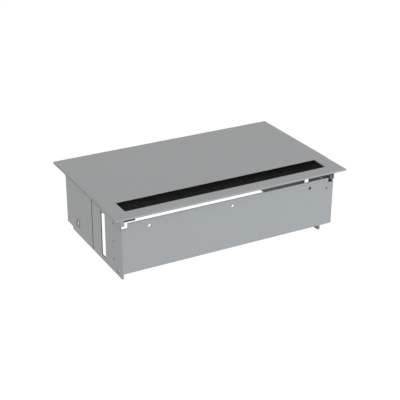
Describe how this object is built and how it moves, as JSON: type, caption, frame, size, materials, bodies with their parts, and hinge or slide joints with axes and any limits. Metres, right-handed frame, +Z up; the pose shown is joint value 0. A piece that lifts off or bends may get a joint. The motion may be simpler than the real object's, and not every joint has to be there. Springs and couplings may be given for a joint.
{
  "type": "built-in desk socket unit",
  "caption": "Grey sheet steel socket box that hangs in a desk cut-out by its flange, with a hinged lid, a brush cable slot, mains sockets and data ports inside.",
  "frame": {"origin": "middle of the footprint on the level of the lowest sheet edges", "axes": "+X along the unit to the right, +Y from the brush slot to the hinge, +Z up"},
  "size_m": [0.4, 0.245, 0.106],
  "materials": {
    "grey_paint": "light grey powder coat, satin",
    "plated_steel": "zinc plated",
    "contact_brass": "plain brass",
    "bare_aluminium": "extruded, natural anodised",
    "brush_nylon": "black nylon filament",
    "black_rubber": "matt",
    "grey_rubber": "matt",
    "socket_plastic": "dark grey moulded plastic, semi gloss",
    "box_plastic": "black moulded plastic, matt"
  },
  "bodies": {
    "housing": {"top_frame": "grey_paint", "corner_tabs": "grey_paint", "front_trim": "grey_paint", "hinge_pin": "plated_steel", "lid_bumpers": "black_rubber", "brush_holder": "bare_aluminium", "brush_rivets": "plated_steel", "brush_bristles": "brush_nylon", "brush_end_blocks": "box_plastic", "front_shell": "grey_paint", "rear_shell": "grey_paint", "cable_grommet": "grey_rubber", "left_front_post": "grey_paint", "left_seam_post": "grey_paint", "left_rear_post": "grey_paint", "right_front_post": "grey_paint", "right_seam_post": "grey_paint", "right_rear_post": "grey_paint", "post_rivets": "plated_steel", "right_partition": "grey_paint", "partition_rivets": "plated_steel", "socket_carrier": "grey_paint", "carrier_screws": "plated_steel", "carrier_nuts": "plated_steel", "power_socket_1": "socket_plastic", "power_socket_2": "socket_plastic", "power_socket_3": "socket_plastic", "power_socket_4": "socket_plastic", "contact_sleeves": "contact_brass", "earth_clips": "contact_brass", "data_module": "socket_plastic", "flap_pin": "plated_steel", "wiring_box": "box_plastic", "live_bar": "contact_brass", "earth_bar": "contact_brass", "neutral_bar": "contact_brass", "mains_inlet": "box_plastic", "inlet_pins": "contact_brass", "earth_stud": "plated_steel", "earth_washer": "plated_steel", "earth_nut": "plated_steel"},
    "lid": {"lid": "grey_paint"},
    "left_flap": {"left_dust_flap": "socket_plastic"},
    "right_flap": {"right_dust_flap": "socket_plastic"}
  },
  "joints": [
    {"name": "lid_hinge", "type": "hinge", "parent": "housing", "child": "lid", "pos_m": [0, 0.12085, 0.10435], "axis": [-1, 0, 0], "range_deg": [0, 105]},
    {"name": "left_flap_hinge", "type": "hinge", "parent": "housing", "child": "left_flap", "pos_m": [0.1005, 0.0019, 0.07625], "axis": [-1, 0, 0], "range_deg": [0, 100]},
    {"name": "right_flap_hinge", "type": "hinge", "parent": "housing", "child": "right_flap", "pos_m": [0.1215, 0.0019, 0.07625], "axis": [-1, 0, 0], "range_deg": [0, 100]}
  ]
}
